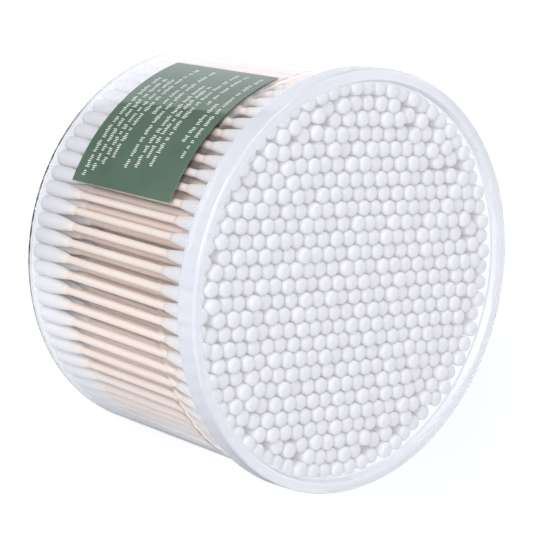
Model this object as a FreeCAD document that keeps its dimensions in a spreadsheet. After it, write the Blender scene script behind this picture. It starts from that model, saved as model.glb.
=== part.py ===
import FreeCAD, Part
import math
import os
import random

import Sketcher

# Driving dimensions, in millimetres and degrees: name, value, what it measures
SIZES = (
    ("base_radius", 56.9, "outside of the wall at the foot"),
    ("wall_widening", 0.8, "how much wider the wall is just under the neck step"),
    ("neck_step", 0.35, "how far the neck stands out beyond the wall under it"),
    ("neck_length", 20.1, "rim of the lid down to the neck step"),
    ("neck_step_rise", 2.0, "height of the sloping step under the neck"),
    ("tub_wall", 0.9, "thickness of the tub's wall"),
    ("floor_thickness", 0.9, "thickness of the tub's floor"),
    ("foot_width", 2.6, "width of the ring that the tub stands on"),
    ("foot_height", 0.6, "how far the floor is raised inside the foot ring"),
    ("base_rounding", 1.0, "outside rounding where the wall meets the foot"),
    ("floor_rounding", 0.8, "inside rounding where the wall meets the floor"),
    ("skirt_gap", 0.75, "gap between the neck and the skirt round it"),
    ("lid_flare", 0.2, "how much wider the skirt is at its lower edge"),
    ("skirt_length", 6.3, "height of the lid's skirt"),
    ("skirt_wall", 1.2, "thickness of the skirt"),
    ("lid_roof", 1.0, "thickness of the rim over the tub's neck"),
    ("recess_wall", 0.75, "thickness of the wall round the panel, at its foot"),
    ("recess_depth", 1.8, "rim of the lid down to the clear panel"),
    ("recess_draft", 0.9, "how far the recess wall leans inwards"),
    ("panel_thickness", 0.9, "thickness of the clear panel"),
    ("plug_clearance", 0.3, "gap between the lid's plug wall and the neck's inside"),
    ("seat_clearance", 0.3, "gap between the neck's rim and the roof over it"),
    ("bead_clearance", 0.35, "gap between the grip bead and the neck's outside"),
    ("bead_height", 0.5, "grip bead's middle above the skirt's lower edge"),
    ("bead_span", 1.6, "height of the grip bead"),
    ("rim_rounding", 0.7, "rounding of the lid's outer top edge"),
    ("recess_rounding", 0.4, "rounding of the rim's inner edge"),
    ("label_low", 14.1, "height of the label's lower edge"),
    ("label_top_gap", 0.1, "neck step down to the label's upper edge"),
    ("label_thickness", 0.15, "thickness of the label"),
    ("label_glue", 0.03, "glue between the label and the wall"),
    ("label_start_angle", 101.9, "where the label starts round the tub"),
    ("label_sweep_angle", 50.3, "how far the label goes round the tub"),
    ("swab_length", 73.4, "end to end length of the longest swab"),
    ("length_spread", 1.2, "how much shorter the shortest swab is"),
    ("stick_radius", 1.15, "radius of a wooden stick"),
    ("head_radius", 2.25, "radius of a cotton head"),
    ("head_length", 15.5, "length of a cotton head"),
    ("head_full_length", 6.0, "length over which a head keeps its full radius"),
    ("head_end_wall", 0.3, "thickness of the cotton where a head ends on its stick"),
    ("head_end_flat", 0.8, "radius of the flat in the middle of a head's rounded end"),
    ("head_end_cover", 1.8, "cotton over the stick's end"),
    ("head_bore_clearance", 0.05, "gap between a stick and the cotton round it"),
    ("head_gap", 0.06, "least gap between two neighbouring heads"),
    ("wall_gap", 0.12, "gap between the outer heads and the wall"),
    ("floor_gap", 0.1, "least gap between a head's end and the floor"),
    ("head_unevenness", 0.3, "how much higher some swabs sit than others"),
    ("panel_gap", 0.1, "least gap between a head's end and the lid's panel"),
)

# How the swabs are packed into the tub: counts and shares, not lengths
WALL_ROWS = 3
ROW_LOOSENESS = 1.005
ROW_SPACING_SHARE = 0.885
CORE_ANGLE = -4.0
CORE_OVERLAP_SHARE = 0.25
CORE_SHIFT_SHARES = (0.3, 0.2)
PACKING_SEED = 11
JITTER_SHARE = 0.12
NEIGHBOUR_SHARE = 1.25
NEIGHBOURS_KEPT_ROUNDS = 5
SETTLE_ROUNDS = 260
SPREAD_SHARE = 1.08
SPREAD_ROUNDS = 120
SETTLE_TOLERANCE_SHARE = 0.004
SWIRL_ANGLE = 1.1
WAVE_SHARE = 0.15
WAVE_COUNTS = (3.1, 2.7)
WAVE_STARTS = (0.7, -0.4)
LEAN_SHARE = 0.3
LENGTH_STEPS = 4
GROUP_COUNT = 19


class Size:
    """A value together with the expression that gives it from the sheet."""

    def __init__(self, value, text):
        self.value = value
        self.text = text

    @staticmethod
    def of(other):
        return other if isinstance(other, Size) else Size(float(other), repr(other))

    def joined(self, other, sign, value):
        return Size(value, "(%s %s %s)" % (self.text, sign, other.text))

    def __add__(self, other):
        other = Size.of(other)
        return self.joined(other, "+", self.value + other.value)

    def __sub__(self, other):
        other = Size.of(other)
        return self.joined(other, "-", self.value - other.value)

    def __mul__(self, other):
        other = Size.of(other)
        return self.joined(other, "*", self.value * other.value)

    def __truediv__(self, other):
        other = Size.of(other)
        return self.joined(other, "/", self.value / other.value)


class Sizes:
    """The driving dimensions, read as attributes."""


def add_sheet(doc):
    """Put the driving dimensions into a sheet and hand them back as Size values."""
    sheet = doc.addObject("Spreadsheet::Sheet", "sizes")
    sizes = Sizes()
    for row, (alias, value, note) in enumerate(SIZES, start=1):
        sheet.set("A%d" % row, alias)
        sheet.set("B%d" % row, str(value))
        sheet.set("C%d" % row, note)
        sheet.setAlias("B%d" % row, alias)
        setattr(sizes, alias, Size(value, "sizes." + alias))
    doc.recompute()
    return sizes


def origin_plane(body, role):
    return next(item for item in body.Origin.OriginFeatures if item.Role == role)


def add_profile(body, name, corners):
    """A closed outline in the body's XZ plane, each corner held by the sheet."""
    sketch = body.newObject("Sketcher::SketchObject", name)
    sketch.AttachmentSupport = (origin_plane(body, "XZ_Plane"), "")
    sketch.MapMode = "FlatFace"
    points = [FreeCAD.Vector(Size.of(x).value, Size.of(z).value, 0) for x, z in corners]
    for start, end in zip(points, points[1:] + points[:1]):
        sketch.addGeometry(Part.LineSegment(start, end), False)
    for index in range(len(corners)):
        following = (index + 1) % len(corners)
        sketch.addConstraint(Sketcher.Constraint("Coincident", index, 2, following, 1))
    for index, (x, z) in enumerate(corners):
        for kind, axis, place in (("DistanceX", -2, x), ("DistanceY", -1, z)):
            if place == 0:
                sketch.addConstraint(Sketcher.Constraint("PointOnObject", index, 1, axis))
                continue
            rule = Sketcher.Constraint(kind, -1, 1, index, 1, place.value)
            number = sketch.addConstraint(rule)
            sketch.setExpression("Constraints[%d]" % number, place.text)
    return sketch


def add_turned_body(doc, label, corners, sweep=None):
    """A body turned about Z from one outline, all the way round or by a sweep."""
    body = doc.addObject("PartDesign::Body", label)
    body.Label = label
    sketch = add_profile(body, label + "_outline", corners)
    turned = body.newObject("PartDesign::Revolution", label + "_turned")
    turned.Profile = sketch
    turned.ReferenceAxis = (sketch, ["V_Axis"])
    turned.Angle = 360.0
    if sweep is not None:
        turned.setExpression("Angle", sweep.text)
    doc.recompute()
    return body


def add_rounding(doc, body, name, radius, circles):
    """Round the circular edges that lie at the given radius and height."""
    base = body.Tip
    edges = []
    for circle_radius, height in circles:
        for number, edge in enumerate(base.Shape.Edges, start=1):
            curve = edge.Curve
            if not isinstance(curve, Part.Circle):
                continue
            at_radius = abs(curve.Radius - Size.of(circle_radius).value) < 1e-4
            at_height = abs(curve.Center.z - Size.of(height).value) < 1e-4
            if at_radius and at_height:
                edges.append("Edge%d" % number)
    fillet = body.newObject("PartDesign::Fillet", name)
    fillet.Base = (base, edges)
    fillet.Radius = radius.value
    fillet.setExpression("Radius", radius.text)
    body.Tip = fillet
    doc.recompute()


# Heights and radii that several pieces share

class Shared:
    """Places worked out from the driving dimensions."""

    def __init__(self, s):
        self.floor_top = s.foot_height + s.floor_thickness
        self.swab_space = s.floor_gap + s.head_unevenness + s.swab_length + s.panel_gap
        self.panel_under = self.floor_top + self.swab_space
        self.panel_top = self.panel_under + s.panel_thickness
        self.lid_top = self.panel_top + s.recess_depth
        self.skirt_foot = self.lid_top - s.skirt_length
        self.neck_top = self.lid_top - s.lid_roof - s.seat_clearance
        self.step_height = self.lid_top - s.neck_length
        self.label_high = self.step_height - s.label_top_gap
        self.wall_top_radius = s.base_radius + s.wall_widening
        self.wall_slope = s.wall_widening / self.step_height
        self.neck_radius = self.wall_top_radius + s.neck_step
        self.neck_inside = self.neck_radius - s.tub_wall
        self.plug_radius = self.neck_inside - s.plug_clearance
        self.recess_radius = self.plug_radius - s.recess_wall
        self.skirt_inside = self.neck_radius + s.skirt_gap
        self.lid_radius = self.skirt_inside + s.skirt_wall
        self.head_rounding = s.head_radius - s.head_end_flat


# Tub: one clear moulded cup with a raised floor, a foot ring and a stepped neck

def add_tub(doc, s, shared):
    foot_inside = s.base_radius - s.foot_width
    inner_base = s.base_radius - s.tub_wall
    corners = [
        (0, s.foot_height),
        (foot_inside, s.foot_height),
        (foot_inside, 0),
        (s.base_radius, 0),
        (shared.wall_top_radius, shared.step_height),
        (shared.neck_radius, shared.step_height + s.neck_step_rise),
        (shared.neck_radius, shared.neck_top),
        (shared.neck_inside, shared.neck_top),
        (shared.neck_inside, shared.step_height + s.neck_step_rise),
        (shared.wall_top_radius - s.tub_wall, shared.step_height),
        (inner_base, shared.floor_top),
        (0, shared.floor_top),
    ]
    body = add_turned_body(doc, "tub", corners)
    add_rounding(doc, body, "tub_base_rounding", s.base_rounding, [(s.base_radius, 0)])
    add_rounding(doc, body, "tub_floor_rounding", s.floor_rounding, [(inner_base, shared.floor_top)])
    return body


# Lid: one clear push-on cap with a skirt, a flat rim and a recessed panel

def add_lid(doc, s, shared):
    bead_radius = shared.neck_radius + s.bead_clearance
    bead_middle = shared.skirt_foot + s.bead_height + s.bead_span / 2
    rim_inside = shared.recess_radius + s.recess_draft
    roof = shared.lid_top - s.lid_roof
    corners = [
        (0, shared.panel_under),
        (shared.plug_radius, shared.panel_under),
        (shared.plug_radius, roof),
        (shared.skirt_inside, roof),
        (shared.skirt_inside, shared.skirt_foot + s.bead_height + s.bead_span),
        (bead_radius, bead_middle),
        (shared.skirt_inside, shared.skirt_foot + s.bead_height),
        (shared.skirt_inside, shared.skirt_foot),
        (shared.lid_radius + s.lid_flare, shared.skirt_foot),
        (shared.lid_radius, shared.lid_top),
        (rim_inside, shared.lid_top),
        (shared.recess_radius, shared.panel_top),
        (0, shared.panel_top),
    ]
    body = add_turned_body(doc, "lid", corners)
    add_rounding(doc, body, "lid_rim_rounding", s.rim_rounding, [(shared.lid_radius, shared.lid_top)])
    add_rounding(doc, body, "lid_recess_rounding", s.recess_rounding, [(rim_inside, shared.lid_top)])
    return body


# Label: a thin sheet glued round part of the sloping wall

def add_label(doc, s, shared):
    def wall_at(height, outwards):
        return s.base_radius + shared.wall_slope * height + outwards

    outer = s.label_glue + s.label_thickness
    corners = [
        (wall_at(s.label_low, s.label_glue), s.label_low),
        (wall_at(s.label_low, outer), s.label_low),
        (wall_at(shared.label_high, outer), shared.label_high),
        (wall_at(shared.label_high, s.label_glue), shared.label_high),
    ]
    body = add_turned_body(doc, "label", corners, s.label_sweep_angle)
    body.setExpression("Placement.Rotation.Angle", s.label_start_angle.text)
    return body


# One swab, standing on its lower end at the origin, from which all are copied

def add_head_pattern(doc, s, shared):
    bore = s.stick_radius + s.head_bore_clearance
    corners = [
        (0, 0),
        (s.head_radius, 0),
        (s.head_radius, s.head_full_length),
        (s.stick_radius + s.head_end_wall, s.head_length),
        (bore, s.head_length),
        (bore, s.head_end_cover),
        (0, s.head_end_cover),
    ]
    body = add_turned_body(doc, "head_pattern", corners)
    add_rounding(doc, body, "head_end_rounding", shared.head_rounding, [(s.head_radius, 0)])
    return body


def swab_length_at(s, step):
    """The length of a swab of one of the steps from the longest to the shortest."""
    return s.swab_length - s.length_spread * step / (LENGTH_STEPS - 1)


def add_stick_pattern(doc, s, step):
    stick = doc.addObject("Part::Cylinder", "stick_pattern_%d" % step)
    start = s.head_end_cover + s.head_bore_clearance
    stick.setExpression("Radius", s.stick_radius.text)
    stick.setExpression("Height", (swab_length_at(s, step) - start * 2).text)
    stick.setExpression("Placement.Base.z", start.text)
    doc.recompute()
    return stick


# Packing of the swabs: rows that follow the wall round a close-packed core

def close_pairs(points, reach):
    """Index pairs of the points that lie closer together than reach."""
    cells = {}
    for index, (x, y) in enumerate(points):
        cells.setdefault((int(x // reach), int(y // reach)), []).append(index)
    pairs = []
    for (column, row), members in cells.items():
        for step in ((0, 0), (1, -1), (1, 0), (1, 1), (0, 1)):
            others = cells.get((column + step[0], row + step[1]), [])
            for i in members:
                for j in others:
                    if step == (0, 0) and j <= i:
                        continue
                    if math.dist(points[i], points[j]) < reach:
                        pairs.append((i, j))
    return pairs


def settle(points, wall_count, wall_radius, pitch, rounds):
    """Push points apart until they are a pitch from each other, inside the wall."""
    points = [list(point) for point in points]
    pairs = []
    for turn in range(rounds):
        if turn % NEIGHBOURS_KEPT_ROUNDS == 0:
            pairs = close_pairs(points, NEIGHBOUR_SHARE * pitch)
        for i, j in pairs:
            dx = points[j][0] - points[i][0]
            dy = points[j][1] - points[i][1]
            distance = math.hypot(dx, dy)
            if distance < pitch:
                push = 0.5 * (pitch - distance) / distance
                points[i][0] -= dx * push
                points[i][1] -= dy * push
                points[j][0] += dx * push
                points[j][1] += dy * push
        for index, point in enumerate(points):
            radius = math.hypot(*point)
            if index < wall_count or radius > wall_radius:
                point[0] *= wall_radius / radius
                point[1] *= wall_radius / radius
    return points


def settle_evenly(points, wall_count, wall_radius, pitch):
    """Push points apart, share the free space out between them and push them apart again."""
    points = settle(points, wall_count, wall_radius, pitch, SETTLE_ROUNDS)
    points = settle(points, wall_count, wall_radius, pitch * SPREAD_SHARE, SPREAD_ROUNDS)
    return settle(points, wall_count, wall_radius, pitch, SETTLE_ROUNDS)


def crowding(points, pitch):
    """How much each point's neighbours press on it."""
    press = [0.0] * len(points)
    for i, j in close_pairs(points, pitch):
        short = pitch - math.dist(points[i], points[j])
        press[i] += short
        press[j] += short
    return press


def first_places(wall_radius, pitch, draw):
    """Rows round the wall and a turned close-packed core, before they settle."""
    spacing = pitch * ROW_LOOSENESS
    places = []
    wall_count = 0
    radius = wall_radius
    for row in range(WALL_ROWS):
        count = int(2 * math.pi * radius / (spacing if row else pitch))
        wall_count = wall_count or count
        for index in range(count):
            angle = 2 * math.pi * (index + row / 2) / count
            places.append((radius * math.cos(angle), radius * math.sin(angle)))
        radius -= pitch * ROW_SPACING_SHARE
    core_radius = radius + CORE_OVERLAP_SHARE * pitch
    jitter = JITTER_SHARE * pitch
    turn = math.radians(CORE_ANGLE)
    reach = int(2 * wall_radius / spacing)
    for row in range(-reach, reach + 1):
        for column in range(-reach, reach + 1):
            x = (column + 0.5 * (row % 2) + CORE_SHIFT_SHARES[0]) * spacing
            y = (row * math.sqrt(3) / 2 + CORE_SHIFT_SHARES[1]) * spacing
            if math.hypot(x, y) < core_radius:
                across = x * math.cos(turn) - y * math.sin(turn)
                along = x * math.sin(turn) + y * math.cos(turn)
                places.append((across + draw.uniform(-jitter, jitter), along + draw.uniform(-jitter, jitter)))
    return places, wall_count


def leaned(places, leans, low_radius, high_radius, pitch):
    """Where the upper ends stand before they settle: turned, spread, waved and leaned a little."""
    turn = math.radians(SWIRL_ANGLE)
    wave = WAVE_SHARE * pitch
    moved = []
    for (x, y), (lean_x, lean_y) in zip(places, leans):
        across = x * math.cos(turn) - y * math.sin(turn) + lean_x
        along = x * math.sin(turn) + y * math.cos(turn) + lean_y
        across += wave * math.sin(WAVE_COUNTS[0] * y / low_radius * math.pi + WAVE_STARTS[0])
        along += wave * math.sin(WAVE_COUNTS[1] * x / low_radius * math.pi + WAVE_STARTS[1])
        moved.append((across * high_radius / low_radius, along * high_radius / low_radius))
    return moved


def pack_swabs(s, shared):
    """Lower and upper places of every swab, thinned until no two heads meet."""
    pitch = 2 * s.head_radius.value + s.head_gap.value
    margin = s.tub_wall.value + s.head_radius.value + s.wall_gap.value
    low_radius = s.base_radius.value - margin
    high_radius = shared.wall_top_radius.value - margin
    draw = random.Random(PACKING_SEED)
    low, wall_count = first_places(low_radius, pitch, draw)
    slack = LEAN_SHARE * pitch
    leans = [(draw.uniform(-slack, slack), draw.uniform(-slack, slack)) for _ in low]
    tolerance = SETTLE_TOLERANCE_SHARE * pitch
    while True:
        low = settle_evenly(low, wall_count, low_radius, pitch)
        high = leaned(low, leans, low_radius, high_radius, pitch)
        high = settle_evenly(high, wall_count, high_radius, pitch)
        press = [max(pair) for pair in zip(crowding(low, pitch), crowding(high, pitch))]
        if max(press) < tolerance:
            return low, high
        crowded = max(range(wall_count, len(low)), key=lambda index: press[index])
        del low[crowded]
        del leans[crowded]


def swab_placements(s, shared):
    """Each swab's placement and length step, from its lower place to its upper place."""
    low, high = pack_swabs(s, shared)
    shoulder = (shared.head_rounding.value + s.head_full_length.value) / 2
    draw = random.Random(PACKING_SEED)
    placements = []
    for (low_x, low_y), (high_x, high_y) in zip(low, high):
        foot = shared.floor_top.value + s.floor_gap.value + s.head_unevenness.value * draw.random()
        step = draw.randrange(LENGTH_STEPS)
        lower = FreeCAD.Vector(low_x, low_y, foot + shoulder)
        upper = FreeCAD.Vector(high_x, high_y, foot + swab_length_at(s, step).value - shoulder)
        along = (upper - lower).normalize()
        turn = FreeCAD.Rotation(FreeCAD.Vector(0, 0, 1), along)
        placements.append((FreeCAD.Placement(lower - along * shoulder, turn), step))
    return placements


def add_group(doc, label, shapes, placements):
    """One node that holds a copy of its length step's shape at each placement."""
    copies = []
    for placement, step in placements:
        copy = shapes[step].copy()
        copy.Placement = placement.multiply(shapes[step].Placement)
        copies.append(copy)
    group = doc.addObject("Part::Feature", label)
    group.Label = label
    group.Shape = Part.makeCompound(copies)
    return group


def add_swabs(doc, s, shared):
    """Sticks, lower heads and upper heads, shared out over equal groups."""
    head = add_head_pattern(doc, s, shared).Shape
    over = FreeCAD.Rotation(FreeCAD.Vector(1, 0, 0), 180)
    sticks = []
    upper_heads = []
    for step in range(LENGTH_STEPS):
        sticks.append(add_stick_pattern(doc, s, step).Shape)
        top = FreeCAD.Vector(0, 0, swab_length_at(s, step).value)
        upper_head = head.copy()
        upper_head.Placement = FreeCAD.Placement(top, over)
        upper_heads.append(upper_head)
    placements = swab_placements(s, shared)
    groups = []
    for number in range(GROUP_COUNT):
        chosen = placements[number::GROUP_COUNT]
        tail = "_%02d" % (number + 1)
        groups.append(add_group(doc, "swab_sticks" + tail, sticks, chosen))
        groups.append(add_group(doc, "cotton_heads_lower" + tail, [head] * LENGTH_STEPS, chosen))
        groups.append(add_group(doc, "cotton_heads_upper" + tail, upper_heads, chosen))
    print("swabs:", len(placements))
    return groups


def check_document(doc):
    """Stop if any object failed to rebuild."""
    for item in doc.Objects:
        if "Invalid" in item.State or "Error" in item.State:
            raise RuntimeError("%s did not rebuild: %s" % (item.Label, item.State))


def write_parts(pieces):
    """Write each sub-part to its own file, once all of them are sound."""
    for piece in pieces:
        if piece.Shape.isNull() or not piece.Shape.isValid():
            raise RuntimeError("%s has no sound shape" % piece.Label)
    os.makedirs("parts", exist_ok=True)
    for piece in pieces:
        piece.Shape.exportStep("parts/%s.step" % piece.Label)


def main():
    doc = FreeCAD.newDocument("cotton_swab_tub")
    s = add_sheet(doc)
    shared = Shared(s)
    pieces = [add_tub(doc, s, shared), add_lid(doc, s, shared), add_label(doc, s, shared)]
    pieces += add_swabs(doc, s, shared)
    doc.recompute()
    check_document(doc)
    write_parts(pieces)


main()
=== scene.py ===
"""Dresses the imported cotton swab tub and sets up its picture.

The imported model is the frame: every piece built here stands where the frame has it, and rides on its body.
Lengths are in metres and angles in degrees unless a name says otherwise.
"""

import logging
import math
import random
from dataclasses import dataclass
from enum import Enum

import bpy
import numpy as np
from mathutils import Matrix, Vector


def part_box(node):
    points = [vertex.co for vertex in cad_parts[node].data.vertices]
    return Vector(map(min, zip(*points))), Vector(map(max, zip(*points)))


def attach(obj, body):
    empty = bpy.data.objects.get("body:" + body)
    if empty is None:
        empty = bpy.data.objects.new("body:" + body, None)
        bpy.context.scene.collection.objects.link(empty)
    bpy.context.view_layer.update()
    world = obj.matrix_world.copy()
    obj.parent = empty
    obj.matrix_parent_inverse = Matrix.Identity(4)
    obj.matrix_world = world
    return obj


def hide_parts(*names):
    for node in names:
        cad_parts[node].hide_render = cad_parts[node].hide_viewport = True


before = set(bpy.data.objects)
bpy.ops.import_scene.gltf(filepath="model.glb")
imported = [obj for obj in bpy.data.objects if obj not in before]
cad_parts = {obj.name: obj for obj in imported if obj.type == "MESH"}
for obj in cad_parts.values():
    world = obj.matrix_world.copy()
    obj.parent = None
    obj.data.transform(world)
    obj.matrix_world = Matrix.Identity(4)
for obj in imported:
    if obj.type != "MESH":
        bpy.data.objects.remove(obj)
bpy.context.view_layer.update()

TUB_BODY = "tub_body"
LID_BODY = "lid_body"
MM = 0.001
ALONG = "along"
WHITE = (1.0, 1.0, 1.0, 1.0)
BLACK = (0.0, 0.0, 0.0, 1.0)

Socket = bpy.types.NodeSocket
Colour = tuple[float, float, float, float]
Spread = tuple[float, float]

log = logging.getLogger("cotton_swab_tub")


class Slot(Enum):
    """Material slot names."""

    TUB = "clear_tub"
    LID = "clear_lid"
    LABEL = "green_label"
    WOOD = "stick_wood"
    COTTON = "cotton"


class End(Enum):
    """The two ends of a swab."""

    LOWER = "lower"
    UPPER = "upper"


# Node helpers


class NodeBoard:
    """A short way to place and join nodes in one tree."""

    def __init__(self, tree: bpy.types.NodeTree) -> None:
        """Keep the tree that the nodes go into."""
        self.tree = tree

    def add(self, kind: str, sockets: dict | None = None, **settings: object) -> bpy.types.Node:
        """Place one node.

        Args:
            kind: the node's type name.
            sockets: input name or number to a value, or to an output that is joined to it.
            settings: the node's own properties.

        Returns:
            The new node.
        """
        node = self.tree.nodes.new(kind)
        for key, value in settings.items():
            setattr(node, key, value)
        for key, value in (sockets or {}).items():
            if isinstance(value, Socket):
                self.join(value, node.inputs[key])
            else:
                node.inputs[key].default_value = value
        return node

    def join(self, source: Socket, target: Socket) -> None:
        """Join an output to an input."""
        self.tree.links.new(source, target)

    def maths(self, operation: str, *values: object) -> Socket:
        """Place a math node on the given values and return its result."""
        return self.add("ShaderNodeMath", dict(enumerate(values)), operation=operation).outputs[0]

    def noise(self, where: Socket, scale: object, detail: float = 2.0) -> Socket:
        """Place a noise texture at the given coordinates and return its value."""
        sockets = {"Vector": where, "Scale": scale, "Detail": detail}
        return self.add("ShaderNodeTexNoise", sockets).outputs[0]

    def stretched(self, where: Socket, stretch: tuple[float, float, float]) -> Socket:
        """Scale coordinates along each axis, so that a texture is drawn out, and return them."""
        return self.add("ShaderNodeMapping", {"Vector": where, "Scale": stretch}).outputs[0]

    def remap(
        self, value: Socket, low: float, high: float, to_low: object = 0.0, to_high: object = 1.0
    ) -> Socket:
        """Stretch a value from one range to another, held at its ends, and return it."""
        sockets = {0: value, 1: low, 2: high, 3: to_low, 4: to_high}
        return self.add("ShaderNodeMapRange", sockets).outputs[0]

    def radius(self) -> Socket:
        """Return the distance from the tub's axis."""
        place = self.add("ShaderNodeTexCoord").outputs["Object"]
        flat = self.add("ShaderNodeVectorMath", {0: place, 1: (1.0, 1.0, 0.0)}, operation="MULTIPLY")
        return self.add("ShaderNodeVectorMath", {0: flat.outputs[0]}, operation="LENGTH").outputs["Value"]

    def mix_values(self, share: float, first: Socket, second: Socket) -> Socket:
        """Add that share of the first value to the rest of the second, and return the sum."""
        rest = self.maths("MULTIPLY", second, 1.0 - share)
        return self.maths("ADD", self.maths("MULTIPLY", first, share), rest)

    def mix_colours(self, share: Socket, first: object, second: object) -> Socket:
        """Mix two colours by a share and return the result."""
        return self.add("ShaderNodeMix", {0: share, 6: first, 7: second}, data_type="RGBA").outputs[2]

    def bump(self, height: Socket, distance: float, strength: float = 1.0) -> Socket:
        """Place a bump node on a height and return its normals."""
        sockets = {"Strength": strength, "Distance": distance, "Height": height}
        return self.add("ShaderNodeBump", sockets).outputs[0]


def new_group(name: str, inputs: dict[str, float], outputs: tuple[str, ...]) -> tuple[NodeBoard, dict, dict]:
    """Start a shader node group whose inputs are numbers.

    Args:
        name: the group's name.
        inputs: input name to its usual value.
        outputs: names of the outputs, all numbers.

    Returns:
        The board to build on, the inputs' sockets by name, and the outputs' sockets by name.
    """
    tree = bpy.data.node_groups.new(name, "ShaderNodeTree")
    for key, value in inputs.items():
        socket = tree.interface.new_socket(key, in_out="INPUT", socket_type="NodeSocketFloat")
        socket.default_value = value
    for key in outputs:
        tree.interface.new_socket(key, in_out="OUTPUT", socket_type="NodeSocketFloat")
    board = NodeBoard(tree)
    entry = board.add("NodeGroupInput")
    leave = board.add("NodeGroupOutput")
    return board, {key: entry.outputs[key] for key in inputs}, {key: leave.inputs[key] for key in outputs}


@dataclass(frozen=True)
class Strands:
    """Fine strands drawn out along Z, as in wound cotton or split wood."""

    fine_share: float = 0.6
    fine_detail: float = 3.0
    mask_from: float = 0.35
    mask_to: float = 0.65

    def build(self) -> bpy.types.NodeTree:
        """Build the group.

        Returns:
            A group that puts out a Mask of light and dark strands and a Height.
        """
        usual = {"Across": 1800.0, "Along": 260.0, "Coarse": 320.0}
        board, given, put = new_group("strands", usual, ("Mask", "Height"))
        place = board.add("ShaderNodeTexCoord").outputs["Object"]
        stretches = {0: given["Across"], 1: given["Across"], 2: given["Along"]}
        stretch = board.add("ShaderNodeCombineXYZ", stretches)
        drawn_out = board.add("ShaderNodeVectorMath", {0: place, 1: stretch.outputs[0]}, operation="MULTIPLY")
        fine = board.noise(drawn_out.outputs[0], 1.0, self.fine_detail)
        both = board.mix_values(self.fine_share, fine, board.noise(place, given["Coarse"]))
        board.join(board.remap(both, self.mask_from, self.mask_to), put["Mask"])
        board.join(both, put["Height"])
        return board.tree


@dataclass(frozen=True)
class Handling:
    """Faint haze and hair scratches of plastic that has been handled."""

    patch_scale: float = 45.0
    patch_detail: float = 3.0
    patch_from: float = 0.45
    patch_to: float = 0.75
    patch_share: float = 0.6
    hair_stretch: tuple[float, float, float] = (2600.0, 300.0, 900.0)
    hair_from: float = 0.7
    hair_to: float = 0.78
    wave_scale: float = 30.0
    wave_stretch: tuple[float, float, float] = (1.0, 1.0, 0.6)

    def build(self) -> bpy.types.NodeTree:
        """Build the group.

        Returns:
            A group that puts out an extra Roughness and a Height.
        """
        usual = {"Haze": 0.05, "Waviness": 0.5}
        board, given, put = new_group("handling", usual, ("Roughness", "Height"))
        place = board.add("ShaderNodeTexCoord").outputs["Object"]
        patch_noise = board.noise(place, self.patch_scale, self.patch_detail)
        patch = board.remap(patch_noise, self.patch_from, self.patch_to)
        hair_noise = board.noise(board.stretched(place, self.hair_stretch), 1.0, 1.0)
        hairs = board.remap(hair_noise, self.hair_from, self.hair_to)
        marks = board.mix_values(self.patch_share, patch, hairs)
        board.join(board.maths("MULTIPLY", marks, given["Haze"]), put["Roughness"])
        wave = board.noise(board.stretched(place, self.wave_stretch), self.wave_scale, 1.0)
        board.join(board.maths("MULTIPLY", wave, given["Waviness"]), put["Height"])
        return board.tree


class Effects:
    """Shader effects that more than one material uses, each built once."""

    def __init__(self) -> None:
        """Build the groups."""
        self.fibres = Strands().build()
        self.handling = Handling().build()


# Finishes


def new_material(name: str) -> tuple[bpy.types.Material, NodeBoard, bpy.types.Node, bpy.types.Node]:
    """Start a material with a Principled shader.

    Args:
        name: the material's name.

    Returns:
        The material, its board, its Principled shader and its output.
    """
    material = bpy.data.materials.new(name)
    material.use_nodes = True
    material.node_tree.nodes.clear()
    board = NodeBoard(material.node_tree)
    shader = board.add("ShaderNodeBsdfPrincipled")
    output = board.add("ShaderNodeOutputMaterial", {"Surface": shader.outputs[0]})
    return material, board, shader, output


@dataclass(frozen=True)
class ClearPlastic:
    """Clear moulded plastic: it refracts what is seen through it and lets plain light pass.

    Beyond a radius it can turn milky, as thick or doubled walls of such plastic do. A ray that has met more
    surfaces than "deepest" goes straight on.
    """

    name: str
    roughness: float = 0.02
    refraction: float = 1.49
    haze: float = 0.05
    waviness: float = 0.5
    wave_height: float = 0.04 * MM
    shade: Colour = (0.62, 0.66, 0.72, 1.0)
    density: float = 5.0
    passing: Colour = (0.975, 0.98, 0.985, 1.0)
    deepest: float = 2.5
    milky_from: float = 1.0
    milky_least: float = 0.0
    milky_fade: float = 0.4 * MM
    milky_share: float = 0.45
    milky_colour: Colour = (0.87, 0.885, 0.945, 1.0)
    milky_roughness: float = 0.15

    def build(self, effects: Effects) -> bpy.types.Material:
        """Build the material and return it."""
        material, board, shader, output = new_material(self.name)
        sockets = {"Haze": self.haze, "Waviness": self.waviness}
        handling = board.add("ShaderNodeGroup", sockets, node_tree=effects.handling).outputs
        milky_to = self.milky_from + self.milky_fade
        milky = board.remap(board.radius(), self.milky_from, milky_to, self.milky_least, 1.0)
        board.join(board.mix_colours(milky, WHITE, self.milky_colour), shader.inputs["Base Color"])
        letting = board.remap(milky, 0.0, 1.0, 1.0, 1.0 - self.milky_share)
        board.join(letting, shader.inputs["Transmission Weight"])
        shader.inputs["IOR"].default_value = self.refraction
        moulded = board.remap(milky, 0.0, 1.0, self.roughness, self.milky_roughness)
        board.join(board.maths("ADD", handling["Roughness"], moulded), shader.inputs["Roughness"])
        board.join(board.bump(handling["Height"], self.wave_height), shader.inputs["Normal"])
        light = board.add("ShaderNodeLightPath").outputs
        deep = board.maths("GREATER_THAN", light["Ray Depth"], self.deepest)
        lighting = board.maths("MAXIMUM", light["Is Shadow Ray"], light["Is Diffuse Ray"])
        straight = board.maths("MAXIMUM", lighting, deep)
        clear = board.add("ShaderNodeBsdfTransparent", {"Color": self.passing})
        surface = board.add("ShaderNodeMixShader", {0: straight, 1: shader.outputs[0], 2: clear.outputs[0]})
        board.join(surface.outputs[0], output.inputs["Surface"])
        volume = board.add("ShaderNodeVolumeAbsorption", {"Color": self.shade, "Density": self.density})
        board.join(volume.outputs[0], output.inputs["Volume"])
        return material


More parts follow.
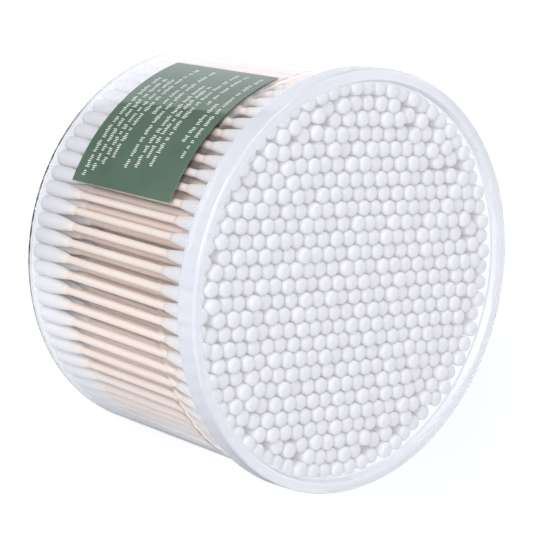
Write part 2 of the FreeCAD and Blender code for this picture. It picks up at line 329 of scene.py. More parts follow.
@dataclass(frozen=True)
class CottonWool:
    """Wound cotton: soft, matt and slightly uneven, so thin at one end that the wood shows through.

    Some of the light goes through the wool, as it does through real cotton.
    """

    name: str
    light: Colour = (0.87, 0.868, 0.915, 1.0)
    dark: Colour = (0.81, 0.808, 0.86, 1.0)
    strand_share: float = 0.6
    thin: Colour = (0.95, 0.84, 0.76, 1.0)
    thin_from: float = 0.66
    thin_to: float = 1.05
    thin_most: float = 0.9
    raggedness: float = 0.12
    across: float = 2600.0
    along: float = 700.0
    coarse: float = 520.0
    roughness: float = 0.95
    gloss: float = 0.2
    sheen: float = 0.6
    sheen_roughness: float = 0.6
    bump_height: float = 0.16 * MM
    bump_strength: float = 0.45
    passing_share: float = 0.5

    def build(self, effects: Effects) -> bpy.types.Material:
        """Build the material and return it."""
        material, board, shader, output = new_material(self.name)
        sockets = {"Across": self.across, "Along": self.along, "Coarse": self.coarse}
        strands = board.add("ShaderNodeGroup", sockets, node_tree=effects.fibres).outputs
        tone = board.add("ShaderNodeNewGeometry").outputs["Random Per Island"]
        share = board.mix_values(self.strand_share, strands["Mask"], tone)
        wool = board.mix_colours(share, self.dark, self.light)
        along = board.add("ShaderNodeAttribute", attribute_name=ALONG).outputs["Fac"]
        ragged = board.maths("ADD", along, board.maths("MULTIPLY", strands["Mask"], self.raggedness))
        thinned = board.remap(ragged, self.thin_from, self.thin_to, 0.0, self.thin_most)
        board.join(board.mix_colours(thinned, wool, self.thin), shader.inputs["Base Color"])
        shader.inputs["Roughness"].default_value = self.roughness
        shader.inputs["Specular IOR Level"].default_value = self.gloss
        shader.inputs["Sheen Weight"].default_value = self.sheen
        shader.inputs["Sheen Roughness"].default_value = self.sheen_roughness
        normals = board.bump(strands["Height"], self.bump_height, self.bump_strength)
        board.join(normals, shader.inputs["Normal"])
        light = board.add("ShaderNodeLightPath").outputs
        lighting = board.maths("MAXIMUM", light["Is Shadow Ray"], light["Is Diffuse Ray"])
        letting = board.maths("MULTIPLY", lighting, self.passing_share)
        clear = board.add("ShaderNodeBsdfTransparent")
        surface = board.add("ShaderNodeMixShader", {0: letting, 1: shader.outputs[0], 2: clear.outputs[0]})
        board.join(surface.outputs[0], output.inputs["Surface"])
        return material


@dataclass(frozen=True)
class BareWood:
    """Plain unfinished wood with its grain along the stick."""

    name: str
    light: Colour = (0.98, 0.85, 0.77, 1.0)
    dark: Colour = (0.92, 0.74, 0.66, 1.0)
    grain_share: float = 0.5
    across: float = 2200.0
    along: float = 45.0
    coarse: float = 70.0
    dark_roughness: float = 0.75
    light_roughness: float = 0.55
    bump_height: float = 0.06 * MM
    bump_strength: float = 0.5

    def build(self, effects: Effects) -> bpy.types.Material:
        """Build the material and return it."""
        material, board, shader, _ = new_material(self.name)
        sockets = {"Across": self.across, "Along": self.along, "Coarse": self.coarse}
        strands = board.add("ShaderNodeGroup", sockets, node_tree=effects.fibres).outputs
        tone = board.add("ShaderNodeNewGeometry").outputs["Random Per Island"]
        share = board.mix_values(self.grain_share, strands["Mask"], tone)
        board.join(board.mix_colours(share, self.dark, self.light), shader.inputs["Base Color"])
        rough = board.remap(strands["Mask"], 0.0, 1.0, self.dark_roughness, self.light_roughness)
        board.join(rough, shader.inputs["Roughness"])
        normals = board.bump(strands["Height"], self.bump_height, self.bump_strength)
        board.join(normals, shader.inputs["Normal"])
        return material


@dataclass(frozen=True)
class PrintedFilm:
    """Gloss film printed in one colour, with faint unevenness in the ink."""

    name: str
    light: Colour
    dark: Colour
    roughness: float = 0.03
    haze: float = 0.03
    waviness: float = 1.0
    wave_height: float = 0.03 * MM
    patch_scale: float = 60.0
    patch_detail: float = 4.0
    patch_from: float = 0.3
    patch_to: float = 0.7

    def build(self, effects: Effects) -> bpy.types.Material:
        """Build the material and return it."""
        material, board, shader, _ = new_material(self.name)
        sockets = {"Haze": self.haze, "Waviness": self.waviness}
        handling = board.add("ShaderNodeGroup", sockets, node_tree=effects.handling).outputs
        place = board.add("ShaderNodeTexCoord").outputs["Object"]
        patch_noise = board.noise(place, self.patch_scale, self.patch_detail)
        share = board.remap(patch_noise, self.patch_from, self.patch_to)
        board.join(board.mix_colours(share, self.dark, self.light), shader.inputs["Base Color"])
        rough = board.maths("ADD", handling["Roughness"], self.roughness)
        board.join(rough, shader.inputs["Roughness"])
        board.join(board.bump(handling["Height"], self.wave_height), shader.inputs["Normal"])
        return material


# Mesh helpers


@dataclass(frozen=True)
class Corner:
    """One corner of a turned outline: radius, height and how far it is rounded."""

    radius: float
    height: float
    rounding: float = 0.0


def rounded_outline(corners: list[Corner], steps: int = 5, support: float = 0.2 * MM) -> list[Vector]:
    """Round the corners of a closed outline with arcs.

    Args:
        corners: the outline in order.
        steps: how many stretches each arc has.
        support: how far beyond an arc an extra point keeps the flat stretch flat.

    Returns:
        The outline's points, with radius as x and height as y.
    """
    points = []
    count = len(corners)
    for index, corner in enumerate(corners):
        here = Vector((corner.radius, corner.height))
        if corner.rounding == 0.0:
            points.append(here)
            continue
        before = corners[index - 1]
        after = corners[(index + 1) % count]
        back = Vector((before.radius, before.height)) - here
        onward = Vector((after.radius, after.height)) - here
        to_back, to_onward = back.normalized(), onward.normalized()
        half = to_back.angle(to_onward) / 2
        reach = corner.rounding / math.tan(half)
        centre = here + (to_back + to_onward).normalized() * (corner.rounding / math.sin(half))
        start = here + to_back * reach - centre
        end = here + to_onward * reach - centre
        sweep = start.angle(end)
        if back.length > reach + 2 * support:
            points.append(centre + start + to_back * support)
        for step in range(steps + 1):
            share = step / steps
            blend = start * math.sin((1 - share) * sweep) + end * math.sin(share * sweep)
            points.append(centre + blend / math.sin(sweep))
        if onward.length > reach + 2 * support:
            points.append(centre + end + to_onward * support)
    return points


def mesh_object(name: str, places: np.ndarray | list, faces: list) -> bpy.types.Object:
    """Make a smooth-shaded mesh object in the scene from its points and faces."""
    mesh = bpy.data.meshes.new(name)
    mesh.from_pydata([tuple(place) for place in places], [], faces)
    mesh.shade_smooth()
    mesh.validate()
    piece = bpy.data.objects.new(name, mesh)
    bpy.context.scene.collection.objects.link(piece)
    return piece


class RoundForms:
    """Many closed round forms gathered into one mesh, each with the share of its length at each point.

    Waves round a form make it uneven. Each has its share of the whole, its count and its drift along it.
    """

    WAVES = ((0.5, 2, 1.0), (0.3, 3, -1.7), (0.2, 5, 2.3))
    TWIST = 2.7

    def __init__(self, draw: random.Random) -> None:
        """Start with none.

        Args:
            draw: where random numbers come from.
        """
        self.draw = draw
        self.places: list[np.ndarray] = []
        self.shares: list[np.ndarray] = []
        self.faces: list[tuple[int, ...]] = []
        self.count = 0

    def add(
        self, rings: list[tuple[float, float]], start: Vector, along: Vector, segments: int, lumps: float
    ) -> None:
        """Add one form, with a point at each end.

        Args:
            rings: distance along the axis and radius of each ring.
            start: where the form's first end is.
            along: the axis' direction.
            segments: how many corners a ring has.
            lumps: how uneven the form is, as a share of its radius.
        """
        turn = np.array(along.to_track_quat("Z", "Y").to_matrix())
        angles = np.arange(segments) * 2 * math.pi / segments
        phases = [self.draw.uniform(0, 2 * math.pi) for _ in self.WAVES]
        length = rings[-1][0]
        block = [np.zeros((1, 3))]
        for distance, radius in rings:
            twist = self.TWIST * distance / length
            swell = np.zeros(segments)
            for (share, count, drift), phase in zip(self.WAVES, phases):
                swell += share * np.sin(count * angles + phase + drift * twist)
            reach = radius * (1 - lumps * (1 - swell))
            corners = (reach * np.cos(angles), reach * np.sin(angles), np.full(segments, distance))
            block.append(np.stack(corners, axis=1))
        block.append(np.array([[0.0, 0.0, length]]))
        local = np.concatenate(block)
        self.places.append(local @ turn.T + np.array(start))
        self.shares.append(local[:, 2] / length)
        first = self.count
        self.count += len(local)
        last = self.count - 1
        for step in range(segments):
            following = (step + 1) % segments
            self.faces.append((first, first + 1 + following, first + 1 + step))
            for ring in range(len(rings) - 1):
                low = first + 1 + ring * segments
                high = low + segments
                self.faces.append((low + step, low + following, high + following, high + step))
            top = first + 1 + (len(rings) - 1) * segments
            self.faces.append((last, top + step, top + following))

    def build(self, name: str) -> bpy.types.Object:
        """Make the mesh object and return it."""
        piece = mesh_object(name, np.concatenate(self.places), self.faces)
        along = piece.data.attributes.new(ALONG, "FLOAT", "POINT")
        along.data.foreach_set("value", np.concatenate(self.shares))
        return piece


def turned(name: str, outline: list[Vector], segments: int = 240) -> bpy.types.Object:
    """Turn a closed outline about Z. Its first and last points are on the axis.

    Args:
        name: the object's name.
        outline: the points from the axis round to the axis, anticlockwise with radius across and height up.
        segments: how many stretches a circle has.

    Returns:
        The new object.
    """
    angles = [2 * math.pi * step / segments for step in range(segments)]
    turns = [(math.cos(angle), math.sin(angle)) for angle in angles]
    places = [(0.0, 0.0, outline[0].y)]
    for point in outline[1:-1]:
        places += [(point.x * c, point.x * s, point.y) for c, s in turns]
    places.append((0.0, 0.0, outline[-1].y))
    last = len(places) - 1
    rings = len(outline) - 2
    faces = []
    for step in range(segments):
        following = (step + 1) % segments
        faces.append((0, 1 + following, 1 + step))
        for ring in range(rings - 1):
            low = 1 + ring * segments
            high = low + segments
            faces.append((low + step, low + following, high + following, high + step))
        top = 1 + (rings - 1) * segments
        faces.append((last, top + step, top + following))
    return mesh_object(name, places, faces)


def finish_piece(
    piece: bpy.types.Object, material: bpy.types.Material, slot: Slot, body: str, *nodes: str
) -> None:
    """Dress a piece, let it ride on its body and stand for its nodes, and report it."""
    piece.data.materials.append(material)
    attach(piece, body)
    if nodes:
        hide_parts(*nodes)
    log.info("%s: %d faces, rides on %s", piece.name, len(piece.data.polygons), body)


# The object


@dataclass
class Tub:
    """The clear moulded cup, with a soft step under its neck and a gate mark under its floor."""

    base_radius: float = 56.9 * MM
    wall_top_radius: float = 57.7 * MM
    neck_radius: float = 58.05 * MM
    step_height: float = 58.0 * MM
    step_start: float = 59.0 * MM
    step_end: float = 61.5 * MM
    step_rounding: float = 14.0 * MM
    wall: float = 0.9 * MM
    floor: float = 0.9 * MM
    foot_width: float = 2.6 * MM
    foot_height: float = 0.6 * MM
    foot_rounding: float = 0.25 * MM
    base_rounding: float = 1.0 * MM
    floor_rounding: float = 0.8 * MM
    rim_rounding: float = 0.3 * MM
    gate_radius: float = 0.9 * MM
    gate_depth: float = 0.2 * MM
    gate_slope: float = 0.1 * MM
    gate_rounding: float = 0.08 * MM
    gate_edge_rounding: float = 0.05 * MM

    def outline(self) -> list[Vector]:
        """Return the section, from the axis at the underside round to the axis at the floor."""
        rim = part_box("tub")[1].z
        floor_top = self.foot_height + self.floor
        inner_neck = self.neck_radius - self.wall
        inner_base = self.base_radius - self.wall
        inner_foot = self.base_radius - self.foot_width
        gate_height = self.foot_height - self.gate_depth
        return rounded_outline([
            Corner(0.0, gate_height),
            Corner(self.gate_radius, gate_height, self.gate_rounding),
            Corner(self.gate_radius + self.gate_slope, self.foot_height, self.gate_edge_rounding),
            Corner(inner_foot, self.foot_height, self.foot_rounding),
            Corner(inner_foot, 0.0, self.foot_rounding),
            Corner(self.base_radius, 0.0, self.base_rounding),
            Corner(self.wall_top_radius, self.step_start, self.step_rounding),
            Corner(self.neck_radius, self.step_end, self.step_rounding),
            Corner(self.neck_radius, rim, self.rim_rounding),
            Corner(inner_neck, rim, self.rim_rounding),
            Corner(inner_neck, self.step_end, self.step_rounding),
            Corner(self.wall_top_radius - self.wall, self.step_start, self.step_rounding),
            Corner(inner_base, floor_top, self.floor_rounding),
            Corner(0.0, floor_top),
        ])

    def build(self, plastic: bpy.types.Material) -> None:
        """Build and dress the tub."""
        finish_piece(turned("tub_shell", self.outline()), plastic, Slot.TUB, TUB_BODY, "tub")


@dataclass
class Lid:
    """The clear push-on lid, with a gate mark on its panel."""

    radius: float = 60.0 * MM
    skirt_wall: float = 1.2 * MM
    flare: float = 0.2 * MM
    roof: float = 1.0 * MM
    rim_width: float = 3.0 * MM
    recess_depth: float = 1.8 * MM
    recess_draft: float = 0.9 * MM
    panel: float = 0.9 * MM
    plug_radius: float = 56.85 * MM
    bead_radius: float = 58.4 * MM
    bead_height: float = 0.5 * MM
    bead_span: float = 1.6 * MM
    bead_rounding: float = 0.25 * MM
    bead_foot_rounding: float = 0.1 * MM
    gate_radius: float = 0.8 * MM
    gate_height: float = 0.18 * MM
    gate_slope: float = 0.1 * MM
    gate_rounding: float = 0.06 * MM
    gate_foot_rounding: float = 0.05 * MM
    panel_rounding: float = 0.25 * MM
    inner_rounding: float = 0.2 * MM
    skirt_rounding: float = 0.15 * MM
    rim_rounding: float = 0.7 * MM
    rim_inner_rounding: float = 0.4 * MM
    recess_rounding: float = 0.3 * MM

    def outline(self) -> list[Vector]:
        """Return the section, from the axis under the panel round to the axis on top of it."""
        low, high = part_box("lid")
        top = high.z
        foot = low.z
        skirt_inside = self.radius - self.skirt_wall
        panel_top = top - self.recess_depth
        panel_under = panel_top - self.panel
        rim_inside = self.radius - self.rim_width
        bead_top = foot + self.bead_height + self.bead_span
        gate_top = panel_top + self.gate_height
        return rounded_outline([
            Corner(0.0, panel_under),
            Corner(self.plug_radius, panel_under, self.panel_rounding),
            Corner(self.plug_radius, top - self.roof, self.inner_rounding),
            Corner(skirt_inside, top - self.roof, self.inner_rounding),
            Corner(skirt_inside, bead_top, self.inner_rounding),
            Corner(self.bead_radius, foot + self.bead_height + self.bead_span / 2, self.bead_rounding),
            Corner(skirt_inside, foot + self.bead_height, self.bead_foot_rounding),
            Corner(skirt_inside, foot, self.skirt_rounding),
            Corner(self.radius + self.flare, foot, self.inner_rounding),
            Corner(self.radius, top, self.rim_rounding),
            Corner(rim_inside, top, self.rim_inner_rounding),
            Corner(rim_inside - self.recess_draft, panel_top, self.recess_rounding),
            Corner(self.gate_radius, panel_top, self.gate_foot_rounding),
            Corner(self.gate_radius - self.gate_slope, gate_top, self.gate_rounding),
            Corner(0.0, gate_top),
        ])

    def build(self, plastic: bpy.types.Material) -> None:
        """Build and dress the lid."""
        finish_piece(turned("lid_shell", self.outline()), plastic, Slot.LID, LID_BODY, "lid")


@dataclass
class Label:
    """The green label on the wall, with rows of plain strokes on it.

    A row is its height in millimetres and the angles at which it starts and ends.
    """

    wall: Tub
    start_angle: float = 101.9
    sweep_angle: float = 50.3
    low: float = 14.1 * MM
    high: float = 57.9 * MM
    glue: float = 0.03 * MM
    thickness: float = 0.15 * MM
    bevel: float = 0.04 * MM
    columns: int = 96
    sharp_from: float = 30.0
    rows: tuple[tuple[float, float, float], ...] = (
        (54.2, 104.8, 138.4), (51.0, 119.6, 134.4), (47.8, 104.8, 121.2), (44.0, 104.8, 142.0),
        (41.0, 113.0, 139.4), (38.4, 113.0, 144.4), (34.2, 105.2, 143.4), (31.2, 113.6, 126.6),
        (27.0, 105.2, 140.4), (24.2, 112.4, 146.8), (21.2, 112.6, 147.0), (18.2, 112.4, 151.0),
    )
    stroke_width: float = 0.3 * MM
    stroke_pitch: float = 0.58 * MM
    reaches_down: tuple[float, ...] = (0.55, 0.55, 0.55, 0.95)
    reaches_up: tuple[float, ...] = (0.55, 0.55, 0.55, 0.9)
    least_strokes: int = 2
    most_strokes: int = 8
    gap: float = 0.75 * MM
    ink: float = 0.012 * MM
    seed: int = 5

    def radius_at(self, height: float) -> float:
        """Return the radius of the tub's wall at a height."""
        share = height / self.wall.step_height
        return self.wall.base_radius + (self.wall.wall_top_radius - self.wall.base_radius) * share

    def place(self, angle: float, height: float, outwards: float) -> tuple[float, float, float]:
        """Return the point at an angle in radians and a height, that far outside the wall."""
        radius = self.radius_at(height) + outwards
        return (radius * math.cos(angle), radius * math.sin(angle), height)

    def build_sheet(self, film: bpy.types.Material) -> None:
        """Build the sheet as a thin closed shell."""
        start = math.radians(self.start_angle)
        sweep = math.radians(self.sweep_angle)
        outer = self.glue + self.thickness
        section = [
            (self.low, self.glue),
            (self.low, outer - self.bevel),
            (self.low + self.bevel, outer),
            (self.high - self.bevel, outer),
            (self.high, outer - self.bevel),
            (self.high, self.glue),
        ]
        places = []
        for column in range(self.columns + 1):
            angle = start + sweep * column / self.columns
            places += [self.place(angle, height, outwards) for height, outwards in section]
        count = len(section)
        faces = []
        for column in range(self.columns):
            for row in range(count):
                here = column * count
                following = (row + 1) % count
                faces.append((here + row, here + following, here + count + following, here + count + row))
        faces.append(tuple(range(count)))
        faces.append(tuple(range(len(places) - 1, len(places) - 1 - count, -1)))
        sheet = mesh_object("label_sheet", places, faces)
        sheet.data.set_sharp_from_angle(angle=math.radians(self.sharp_from))
        finish_piece(sheet, film, Slot.LABEL, TUB_BODY, "label")

    def stroke(self, angle: float, low: float, high: float, places: list, faces: list) -> None:
        """Add one raised stroke of ink, a thin bar between two heights."""
        outer = self.glue + self.thickness
        half = self.stroke_width / 2 / self.radius_at(low)
        first = len(places)
        for outwards in (outer, outer + self.ink):
            for side, height in ((-half, low), (half, low), (half, high), (-half, high)):
                places.append(self.place(angle + side, height, outwards))
        for face in ((3, 2, 1, 0), (4, 5, 6, 7), (0, 1, 5, 4), (1, 2, 6, 5), (2, 3, 7, 6), (3, 0, 4, 7)):
            faces.append(tuple(first + corner for corner in face))

    def build_strokes(self, ink: bpy.types.Material) -> None:
        """Build the rows of strokes: groups of short bars that say nothing."""
        draw = random.Random(self.seed)
        places, faces = [], []
        for middle, row_start, row_end in self.rows:
            along = math.radians(row_start) * self.wall.base_radius
            reach = math.radians(row_end) * self.wall.base_radius
            while along < reach:
                for _ in range(draw.randint(self.least_strokes, self.most_strokes)):
                    low = (middle - draw.choice(self.reaches_down)) * MM
                    high = (middle + draw.choice(self.reaches_up)) * MM
                    self.stroke(along / self.wall.base_radius, low, high, places, faces)
                    along += self.stroke_pitch
                along += self.gap
        strokes = mesh_object("label_strokes", places, faces)
        strokes.data.set_sharp_from_angle(angle=math.radians(self.sharp_from))
        finish_piece(strokes, ink, Slot.LABEL, TUB_BODY)

    def build(self, film: bpy.types.Material, ink: bpy.types.Material) -> None:
        """Build the sheet and its strokes."""
        self.build_sheet(film)
        self.build_strokes(ink)


@dataclass(frozen=True)
class Axis:
    """The line of one swab, between the two ends of its stick."""

    low: Vector
    high: Vector


class SwabFrame:
    """Reads from the frame where each swab stands."""

    REACH_SHARE = 2.1
    DECIMALS = 7

    def __init__(self, stick_radius: float) -> None:
        """Keep the stick's radius, which tells one stick's corners from the next one's."""
        self.reach = self.REACH_SHARE * stick_radius

    def end_centres(self, places: np.ndarray) -> list[Vector]:
        """Return the middle of each stick end among the corners of many ends."""
        clusters: list[list[np.ndarray]] = []
        for place in places:
            for cluster in clusters:
                if np.hypot(*(cluster[0][:2] - place[:2])) < self.reach:
                    cluster.append(place)
                    break
            else:
                clusters.append([place])
        centres = []
        for cluster in clusters:
            corners = np.array(cluster)
            centres.append(Vector((corners.min(0) + corners.max(0)) / 2))
        return centres

    def axes(self, node: str) -> list[Axis]:
        """Return the axis of every stick in a node."""
        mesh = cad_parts[node].data
        places = np.zeros(len(mesh.vertices) * 3)
        mesh.vertices.foreach_get("co", places)
        places = np.unique(places.reshape(-1, 3).round(self.DECIMALS), axis=0)
        middle = places[:, 2].mean()
        lows = self.end_centres(places[places[:, 2] < middle])
        highs = self.end_centres(places[places[:, 2] >= middle])
        return [Axis(low, min(highs, key=lambda high: (high.xy - low.xy).length)) for low in lows]


@dataclass
class Swabs:
    """All the swabs: wooden sticks with a head of wound cotton on each end.

    A head is a dome, a body that hardly narrows, and a taper down to the bare stick. The shares say where the
    rings of each stretch stand in it, and the spreads how far one swab differs from the next.
    """

    stick_radius: float = 1.15 * MM
    head_radius: float = 2.35 * MM
    head_length: float = 15.5 * MM
    full_length: float = 6.0 * MM
    dome_length: float = 1.45 * MM
    end_radius: float = 1.24 * MM
    end_cover: float = 1.85 * MM
    body_narrowing: float = 0.01
    taper_power: float = 1.35
    dome_shares: tuple[float, ...] = (0.02, 0.09, 0.22, 0.4, 0.62, 0.82, 1.0)
    body_shares: tuple[float, ...] = (0.5, 1.0)
    taper_shares: tuple[float, ...] = (0.2, 0.4, 0.6, 0.8, 1.0)
    radius_spread: Spread = (0.975, 1.0)
    dome_spread: Spread = (0.9, 1.1)
    length_spread: Spread = (0.93, 1.0)
    fullness_spread: Spread = (3.2, 3.6)
    stick_spread: Spread = (0.97, 1.0)
    head_lumps: float = 0.022
    stick_lumps: float = 0.01
    head_segments: int = 22
    stick_segments: int = 14
    stick_rings: int = 9
    sharp_from: float = 50.0
    seed: int = 21

    def head_rings(self, draw: random.Random) -> list[tuple[float, float]]:
        """Return one head's outline as distance from its tip and radius, a little different each time."""
        radius = self.head_radius * draw.uniform(*self.radius_spread)
        dome = self.dome_length * draw.uniform(*self.dome_spread)
        length = self.head_length * draw.uniform(*self.length_spread)
        fullness = draw.uniform(*self.fullness_spread)
        rings = []
        for share in self.dome_shares:
            drop = (1 - share) ** fullness
            rings.append((dome * share, radius * (1 - drop) ** (1 / fullness)))
        for share in self.body_shares:
            along = dome + (self.full_length - dome) * share
            rings.append((along, radius * (1 - self.body_narrowing * share)))
        for share in self.taper_shares:
            ease = share ** self.taper_power
            along = self.full_length + (length - self.full_length) * share
            body_end = radius * (1 - self.body_narrowing)
            rings.append((along, body_end * (1 - ease) + self.end_radius * ease))
        return rings

    def build_heads(self, end: End, tail: str, axes: list[Axis], cotton: bpy.types.Material) -> None:
        """Build one group's heads at one end."""
        draw = random.Random("%s %s %d" % (end.value, tail, self.seed))
        forms = RoundForms(draw)
        for axis in axes:
            along = (axis.high - axis.low).normalized()
            if end is End.LOWER:
                start = axis.low - along * self.end_cover
            else:
                start = axis.high + along * self.end_cover
                along = -along
            forms.add(self.head_rings(draw), start, along, self.head_segments, self.head_lumps)
        piece = forms.build("%s_cotton_%s" % (end.value, tail))
        finish_piece(piece, cotton, Slot.COTTON, TUB_BODY, "cotton_heads_%s_%s" % (end.value, tail))

    def build_sticks(self, tail: str, axes: list[Axis], wood: bpy.types.Material) -> None:
        """Build one group's sticks."""
        draw = random.Random("sticks %s %d" % (tail, self.seed))
        forms = RoundForms(draw)
        for axis in axes:
            length = (axis.high - axis.low).length
            along = (axis.high - axis.low).normalized()
            radius = self.stick_radius * draw.uniform(*self.stick_spread)
            rings = [(length * ring / (self.stick_rings - 1), radius) for ring in range(self.stick_rings)]
            forms.add(rings, axis.low, along, self.stick_segments, self.stick_lumps)
        piece = forms.build("sticks_%s" % tail)
        piece.data.set_sharp_from_angle(angle=math.radians(self.sharp_from))
        finish_piece(piece, wood, Slot.WOOD, TUB_BODY, "swab_sticks_%s" % tail)

    def build(self, wood: bpy.types.Material, cotton: bpy.types.Material) -> None:
        """Build every group of swabs that the frame has."""
        reader = SwabFrame(self.stick_radius)
        for node in sorted(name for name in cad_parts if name.startswith("swab_sticks_")):
            tail = node.rsplit("_", 1)[1]
            axes = reader.axes(node)
            self.build_sticks(tail, axes, wood)
            for end in End:
                self.build_heads(end, tail, axes, cotton)


# The studio


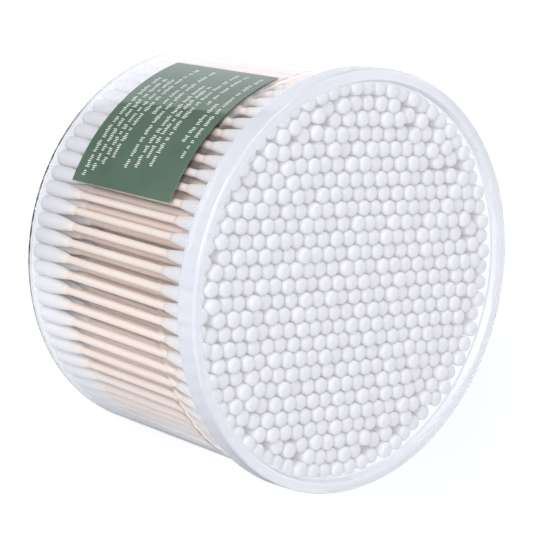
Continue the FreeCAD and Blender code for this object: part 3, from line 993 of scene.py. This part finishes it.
@dataclass
class Studio:
    """Pale floor, a soft lamp and a white background.

    Mirrored straight off the outside, the floor shows a painted reflection of a lit room: bright on one side
    of the label, dim beside it, and grey elsewhere. To the light gathered from it, its dim side is painted
    shade.
    """

    floor_size: float = 3.0
    floor_drop: float = 0.02 * MM
    floor_colour: Colour = (0.80, 0.80, 0.81, 1.0)
    glow_colour: Colour = (0.90, 0.94, 1.0, 1.0)
    floor_glow: float = 0.55
    ambient_colour: Colour = (0.97, 0.97, 1.0, 1.0)
    ambient: float = 0.62
    # Painted shade: the floor's colour on its dim side, met only by gathered light.
    dim_colour: Colour = (0.10, 0.11, 0.12, 1.0)
    side_slope: float = 0.281
    side_edge: float = 47.6 * MM
    side_blur: float = 1.5 * MM
    # Painted reflection: how bright the floor glows to straight mirrored rays on its bright side, dim side
    # and elsewhere.
    mirrored_bright: float = 1.3
    mirrored_dim: float = 0.1
    mirrored_plain: float = 0.45
    # Painted reflection: the sky's strength to straight mirrored rays, far above the plain light it gives.
    mirrored_sky: float = 3.0
    lamp_place: tuple[float, float, float] = (-0.72, 0.46, 0.36)
    lamp_aim: tuple[float, float, float] = (0.0, 0.0, 0.04)
    lamp_side: float = 0.6
    lamp_radiance: float = 5.2

    def shown_to_eye(self, board: NodeBoard) -> Socket:
        """Return 1 for rays that show the background: straight, mirrored or through clear plastic."""
        light = board.add("ShaderNodeLightPath").outputs
        mirrored = board.maths("MAXIMUM", light["Is Glossy Ray"], light["Is Transmission Ray"])
        return board.maths("MAXIMUM", light["Is Camera Ray"], mirrored)

    def mirrored_first(self, board: NodeBoard) -> Socket:
        """Return 1 for rays that were mirrored and never went through anything."""
        light = board.add("ShaderNodeLightPath").outputs
        entered = board.maths("MINIMUM", light["Transmission Depth"], 1.0)
        return board.maths("MULTIPLY", light["Is Glossy Ray"], board.maths("SUBTRACT", 1.0, entered))

    def sides(self, board: NodeBoard) -> tuple[Socket, Socket]:
        """Return masks of the floor's dim side, beside the label, and of its bright side, behind it, where
        the painted reflection and painted shade go.
        """
        place = board.add("ShaderNodeTexCoord").outputs["Object"]
        across = board.add("ShaderNodeSeparateXYZ", {0: place}).outputs
        edge = board.maths("SUBTRACT", board.maths("MULTIPLY", across["Y"], self.side_slope), self.side_edge)
        beyond = board.remap(board.maths("SUBTRACT", edge, across["X"]), 0.0, self.side_blur)
        upper = board.remap(across["Y"], 0.0, self.side_blur)
        dim = board.maths("MULTIPLY", beyond, upper)
        return dim, board.maths("SUBTRACT", upper, dim)

    def build_world(self) -> None:
        """White to the eye, plain soft light to the object, and a painted reflection: mirrored straight, the
        sky is brighter.
        """
        world = bpy.data.worlds.new("studio")
        bpy.context.scene.world = world
        world.use_nodes = True
        world.node_tree.nodes.clear()
        board = NodeBoard(world.node_tree)
        share = self.shown_to_eye(board)
        colour = board.mix_colours(share, self.ambient_colour, WHITE)
        plain = board.remap(share, 0.0, 1.0, self.ambient, 1.0)
        # Painted reflection: straight mirrored rays see a sky mirrored_sky times as bright as white.
        strength = board.remap(self.mirrored_first(board), 0.0, 1.0, plain, self.mirrored_sky)
        background = board.add("ShaderNodeBackground", {"Color": colour, "Strength": strength})
        board.add("ShaderNodeOutputWorld", {"Surface": background.outputs[0]})

    def build_floor(self) -> None:
        """A plain pale floor that keeps the object's shadow, with a painted reflection on its sides and
        painted shade on its dim side to gathered light.
        """
        half = self.floor_size / 2
        corners = [(-half, -half, 0.0), (half, -half, 0.0), (half, half, 0.0), (-half, half, 0.0)]
        floor = mesh_object("floor", corners, [(0, 1, 2, 3)])
        floor.location.z = -self.floor_drop
        material = bpy.data.materials.new("pale_floor")
        material.use_nodes = True
        material.node_tree.nodes.clear()
        board = NodeBoard(material.node_tree)
        dim, bright = self.sides(board)
        first = self.mirrored_first(board)
        gathered = board.add("ShaderNodeLightPath").outputs["Is Diffuse Ray"]
        # Painted shade: to gathered light, the floor's dim side takes the dark colour.
        colour = board.mix_colours(board.maths("MULTIPLY", dim, gathered), self.floor_colour, self.dim_colour)
        # Mirrored straight, the floor shows no lit colour of its own, only the painted reflection.
        matt = board.add("ShaderNodeBsdfDiffuse", {"Color": board.mix_colours(first, colour, BLACK)})
        # Painted reflection: the floor glows to straight mirrored rays, bright on one side, dim on the other,
        # grey elsewhere.
        lifted = board.maths("MULTIPLY", bright, self.mirrored_bright - self.mirrored_plain)
        lowered = board.maths("MULTIPLY", dim, self.mirrored_plain - self.mirrored_dim)
        mirrored = board.maths("SUBTRACT", board.maths("ADD", lifted, self.mirrored_plain), lowered)
        seen = board.maths("SUBTRACT", self.shown_to_eye(board), first)
        shown = board.maths("MULTIPLY", seen, self.floor_glow)
        strength = board.maths("ADD", board.maths("MULTIPLY", first, mirrored), shown)
        glow = board.add("ShaderNodeEmission", {"Color": self.glow_colour, "Strength": strength})
        both = board.add("ShaderNodeAddShader", {0: matt.outputs[0], 1: glow.outputs[0]})
        board.add("ShaderNodeOutputMaterial", {"Surface": both.outputs[0]})
        floor.data.materials.append(material)

    def build_lamp(self) -> None:
        """One softbox, whose face is so many times as bright as white."""
        place = Vector(self.lamp_place)
        lamp = bpy.data.lights.new("key_softbox", "AREA")
        lamp.shape = "RECTANGLE"
        lamp.size = lamp.size_y = self.lamp_side
        lamp.energy = self.lamp_radiance * math.pi * self.lamp_side * self.lamp_side
        holder = bpy.data.objects.new("key_softbox", lamp)
        holder.location = place
        holder.rotation_mode = "QUATERNION"
        holder.rotation_quaternion = (Vector(self.lamp_aim) - place).to_track_quat("-Z", "Y")
        holder.visible_camera = False
        bpy.context.scene.collection.objects.link(holder)

    def build(self) -> None:
        """Build the world, the floor and the lamp."""
        self.build_world()
        self.build_floor()
        self.build_lamp()


@dataclass
class Camera:
    """The photograph's view of the lid, with the camera rolled as it was held."""

    place: Vector
    look: Vector
    up: Vector
    lens: float = 153.06
    sensor: float = 36.0
    nearest: float = 0.01
    farthest: float = 20.0

    def build(self) -> None:
        """Build the camera and make it the scene's."""
        lens = bpy.data.cameras.new("camera")
        lens.lens = self.lens
        lens.sensor_width = self.sensor
        lens.clip_start = self.nearest
        lens.clip_end = self.farthest
        camera = bpy.data.objects.new("camera", lens)
        back = -self.look.normalized()
        right = self.up.cross(back).normalized()
        turn = Matrix((right, back.cross(right), back)).transposed()
        camera.matrix_world = Matrix.Translation(self.place) @ turn.to_4x4()
        bpy.context.scene.collection.objects.link(camera)
        bpy.context.scene.camera = camera


def main() -> None:
    """Build the pieces, the studio and the camera, in order."""
    logging.basicConfig(level=logging.INFO, format="%(name)s: %(message)s")
    bpy.context.scene.view_settings.view_transform = "Standard"
    effects = Effects()
    tub_plastic = ClearPlastic("clear_tub_plastic", waviness=0.05)
    lid_plastic = ClearPlastic("clear_lid_plastic", roughness=0.03, milky_from=55.5 * MM, milky_least=0.22)
    film = PrintedFilm("green_film", light=(0.135, 0.202, 0.147, 1.0), dark=(0.098, 0.162, 0.112, 1.0))
    ink = PrintedFilm("white_ink", light=(0.85, 0.87, 0.86, 1.0), dark=(0.75, 0.78, 0.76, 1.0), roughness=0.4)
    tub = Tub()
    tub.build(tub_plastic.build(effects))
    Lid().build(lid_plastic.build(effects))
    Label(tub).build(film.build(effects), ink.build(effects))
    Swabs().build(BareWood("stick_wood").build(effects), CottonWool("cotton_wool").build(effects))
    Studio().build()
    Camera(
        place=Vector((-0.42474, 0.15318, 0.51773)),
        look=Vector((0.64522, -0.23580, -0.72670)),
        up=Vector((0.15656, 0.97180, -0.17632)),
    ).build()


if __name__ == "__main__":
    main()
